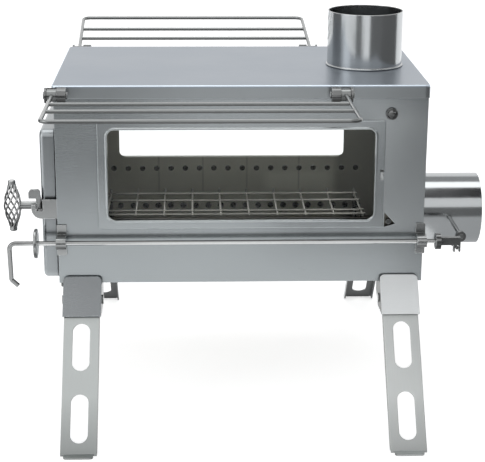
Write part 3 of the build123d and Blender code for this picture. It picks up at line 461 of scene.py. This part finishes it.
# Small fittings such as pins, guides and the latch, and darker ones such as screws and levers
bare_steel = steel("bare_steel", colour=(0.36, 0.37, 0.37), rough=0.18, brush=fastener_brush,
                   smudge=0.08, edge_light=1.0, edge_radius=0.0007, nook_shade=0.95,
                   shadow=Shadow("Z", start=0.1, end=-0.5, strength=0.8))
dark_bare = steel("dark_bare", colour=(0.20, 0.205, 0.205), rough=0.16, brush=fastener_brush,
                  smudge=0.08, edge_light=1.0, edge_radius=0.0009, nook_shade=0.95,
                  shadow=Shadow("Z", start=0.25, end=-0.35, strength=0.85))

# Sheets on the inside: door liner, damper flap, glass retainers and bottom pan
dull_steel = steel("dull_steel", colour=(0.21, 0.205, 0.18), rough=0.36,
                   brush=inner_brush._replace(depth=0.03), smudge=0.10, edge_light=0.3,
                   edge_radius=0.0004, stain=Stain(colour=(0.14, 0.13, 0.11), strength=0.35))
pan_steel = steel("pan_steel", colour=(0.30, 0.29, 0.25), rough=0.30, brush=inner_brush, smudge=0.12,
                  edge_light=0.3, edge_radius=0.0005,
                  stain=Stain(colour=(0.20, 0.19, 0.165), strength=0.3))
soot_steel = steel("soot_steel", colour=(0.06, 0.057, 0.05), rough=0.5, brush=inner_brush, smudge=0.10,
                   edge_light=0.0, edge_radius=0.0003)

# Air plate at the back of the firebox: a pale area that is a painted reflection, a dim right end, a bright
# lip that is a painted highlight, and dim seams
seam_places = (-0.085, -0.036, 0.013, 0.071)
seam_half = 0.0007
dim_plate = (0.25, 0.245, 0.21)
pale_reflection = body_patch(x_range=(0.033, 0.107), z_range=(0.037, 0.059), strength=0.6,
                       soft_x=0.006, soft_z=0.004, colour=(0.98, 0.97, 0.84))
dim_end = body_patch(x_range=(0.112, 0.20), z_range=(0.0, 0.20), strength=0.6,
                     soft_x=0.004, soft_z=0.004, colour=dim_plate)
lip_highlight = body_patch(x_range=(-0.122, 0.114), z_range=(0.0764, 0.079), strength=0.95,
                        soft_x=0.004, soft_z=0.0004, colour=(1.0, 0.98, 0.90))
seams = [body_patch(x_range=(x - seam_half, x + seam_half), z_range=(0.037, 0.078), strength=0.45,
                    soft_x=0.0006, soft_z=0.004, colour=dim_plate) for x in seam_places]
back_steel = steel("back_steel", colour=(0.68, 0.67, 0.57), rough=0.45, brush=inner_brush, smudge=0.10,
                   edge_light=0.0, edge_radius=0.0003, metal=0.2, nook_shade=0.0,
                   stain=Stain(colour=(0.50, 0.49, 0.41), strength=0.4),
                   patches=[pale_reflection, dim_end, lip_highlight, *seams], hole_dark_top=base_z + 0.073)

glass = pane_glass("pane_glass")
rope = rope_fabric("rope_fabric")

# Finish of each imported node: by its whole name, or else by a part of it
finish_by_name = {
    "top_plate": sheet_top,
    "front_panel": sheet_front,
    "rear_panel": sheet_rear,
    "end_panel": sheet_door,
    "door_pan": sheet_door,
    "door_frame": sheet_door,
    "door_liner": dull_steel,
    "door_seal": rope,
    "damper_flap": dull_steel,
    "damper_spindle": wire_steel,
    "flue_collar": tube_steel,
    "intake_pipe": pipe_steel,
    "bottom_pan": pan_steel,
    "grate": grate_steel,
    "control_rod": rod_steel,
    "basket_handle": basket_steel,
    "front_rack": wire_steel,
    "rear_rack": wire_steel,
    "rear_air_plate": back_steel,
    "rear_glass_retainer": soot_steel,
    "leg_pins": bare_steel,
}


def leg_finish(name):
    if "_rear_" in name:
        return leg_rear
    if name.startswith("leg_bracket"):
        return cap_left if name.endswith("left") else cap_right
    return leg_left if name.endswith("left") else leg_right


def finish_for(name):
    if name in finish_by_name:
        return finish_by_name[name]
    if name.startswith("leg_"):
        return leg_finish(name)
    if name.endswith("_glass"):
        return glass
    if name.endswith("retainer"):
        return dull_steel
    if name.endswith("window_frame"):
        return sheet_frame
    if name.endswith("rack_hinges") or any(word in name for word in ("screw", "lever", "fork")):
        return dark_bare
    return bare_steel


for name, obj in nodes.items():
    finish = finish_for(name)
    if not obj.material_slots:
        obj.data.materials.append(finish)
    for slot in obj.material_slots:
        slot.material = finish

# Floor, world, lamps and studio cards
floor_colour = (0.90, 0.895, 0.885, 1)
floor_half = 5
floor_drop = 0.0005
floor_glow = 0.62
room_colour = (0.95, 0.97, 1.0, 1)
room_level = 0.62
card_tint = (1.0, 1.01, 1.02)


def seen_directly(tree):
    path = tree.nodes.new("ShaderNodeLightPath")
    seen = math_node(tree, "MAXIMUM", path.outputs["Is Camera Ray"], path.outputs["Is Transmission Ray"])
    return math_node(tree, "MAXIMUM", seen, path.outputs["Is Glossy Ray"])


def flat_object(name, corners, material):
    mesh = bpy.data.meshes.new(name)
    build = bmesh.new()
    build.faces.new([build.verts.new(corner) for corner in corners])
    build.to_mesh(mesh)
    build.free()
    mesh.materials.append(material)
    made = bpy.data.objects.new(name, mesh)
    bpy.context.scene.collection.objects.link(made)
    return made


def add_floor():
    """A pale floor that keeps the shadow and glows only for what sees it directly."""
    material, tree, out = new_material("pale_floor")
    cloth = node(tree, "ShaderNodeBsdfDiffuse", Roughness=0.9, Color=floor_colour)
    glow = node(tree, "ShaderNodeEmission", Color=white)
    tree.links.new(math_node(tree, "MULTIPLY", seen_directly(tree), floor_glow), glow.inputs["Strength"])
    both = tree.nodes.new("ShaderNodeAddShader")
    tree.links.new(cloth.outputs["BSDF"], both.inputs[0])
    tree.links.new(glow.outputs["Emission"], both.inputs[1])
    tree.links.new(both.outputs["Shader"], out.inputs["Surface"])
    signs = ((-1, -1), (1, -1), (1, 1), (-1, 1))
    floor = flat_object("floor", [(x * floor_half, y * floor_half, -floor_drop) for x, y in signs], material)


def add_world():
    """White where it is seen, and an even cool grey where it lights the object."""
    world = bpy.data.worlds.new("studio")
    bpy.context.scene.world = world
    world.use_nodes = True
    tree = world.node_tree
    tree.nodes.clear()
    out = tree.nodes.new("ShaderNodeOutputWorld")
    seen = node(tree, "ShaderNodeBackground", Color=white, Strength=1.0)
    room = node(tree, "ShaderNodeBackground", Color=room_colour, Strength=room_level)
    mix = tree.nodes.new("ShaderNodeMixShader")
    tree.links.new(seen_directly(tree), mix.inputs["Fac"])
    tree.links.new(room.outputs["Background"], mix.inputs[1])
    tree.links.new(seen.outputs["Background"], mix.inputs[2])
    tree.links.new(mix.outputs["Shader"], out.inputs["Surface"])


def add_lamp(name, place, aim, size, power):
    data = bpy.data.lights.new(name, "AREA")
    data.shape = "RECTANGLE"
    data.size, data.size_y = size
    data.energy = power
    lamp = bpy.data.objects.new(name, data)
    lamp.location = place
    lamp.rotation_euler = (Vector(aim) - Vector(place)).to_track_quat("-Z", "Y").to_euler()
    bpy.context.scene.collection.objects.link(lamp)


def add_card(name, corners, shade):
    """A grey studio card, seen only in the steel's reflections."""
    material, tree, out = new_material(name + "_cloth")
    glow = node(tree, "ShaderNodeEmission", Color=(*(shade * part for part in card_tint), 1))
    tree.links.new(glow.outputs["Emission"], out.inputs["Surface"])
    card = flat_object(name, corners, material)
    card.visible_camera = False
    card.visible_diffuse = False
    card.visible_shadow = False
    card.visible_transmission = False


def upright_card(name, start, end, low, high, shade):
    add_card(name, ((*start, low), (*end, low), (*end, high), (*start, high)), shade)


def level_card(name, x_range, y_range, height, shade):
    (x0, x1), (y0, y1) = x_range, y_range
    add_card(name, ((x0, y0, height), (x1, y0, height), (x1, y1, height), (x0, y1, height)), shade)


add_floor()
add_world()

body_middle = (0.0, 0.0, 0.2)
add_lamp("top_softbox", place=(0.0, 0.1, 1.7), aim=body_middle, size=(1.6, 0.9), power=4.5)
add_lamp("left_softbox", place=(-1.6, -0.9, 0.9), aim=body_middle, size=(0.8, 1.2), power=3.0)

# Cards standing round the object, then cards above it and cards just over the floor
upright_card("front_card_left", start=(-0.52, -0.95), end=(-0.14, -0.95), low=0.02, high=0.46, shade=0.24)
upright_card("front_card_right", start=(0.26, -0.95), end=(0.95, -0.80), low=0.0, high=0.46, shade=0.18)
upright_card("right_card", start=(0.95, -0.80), end=(1.0, 0.25), low=0.0, high=0.55, shade=0.15)
upright_card("rear_left_card", start=(-0.75, 0.55), end=(-0.62, -0.10), low=0.0, high=0.60, shade=0.19)
level_card("upper_card", x_range=(0.36, 1.6), y_range=(-1.15, -0.14), height=1.40, shade=0.04)
level_card("rear_upper_card", x_range=(0.20, 1.5), y_range=(0.42, 1.50), height=1.50, shade=0.40)
level_card("floor_card", x_range=(0.05, 1.2), y_range=(-1.10, -0.66), height=0.004, shade=0.30)
level_card("pipe_floor_card", x_range=(0.22, 0.95), y_range=(-0.66, 0.40), height=0.005, shade=0.55)
level_card("near_floor_card", x_range=(-1.0, 1.0), y_range=(-1.30, -0.85), height=0.003, shade=0.40)
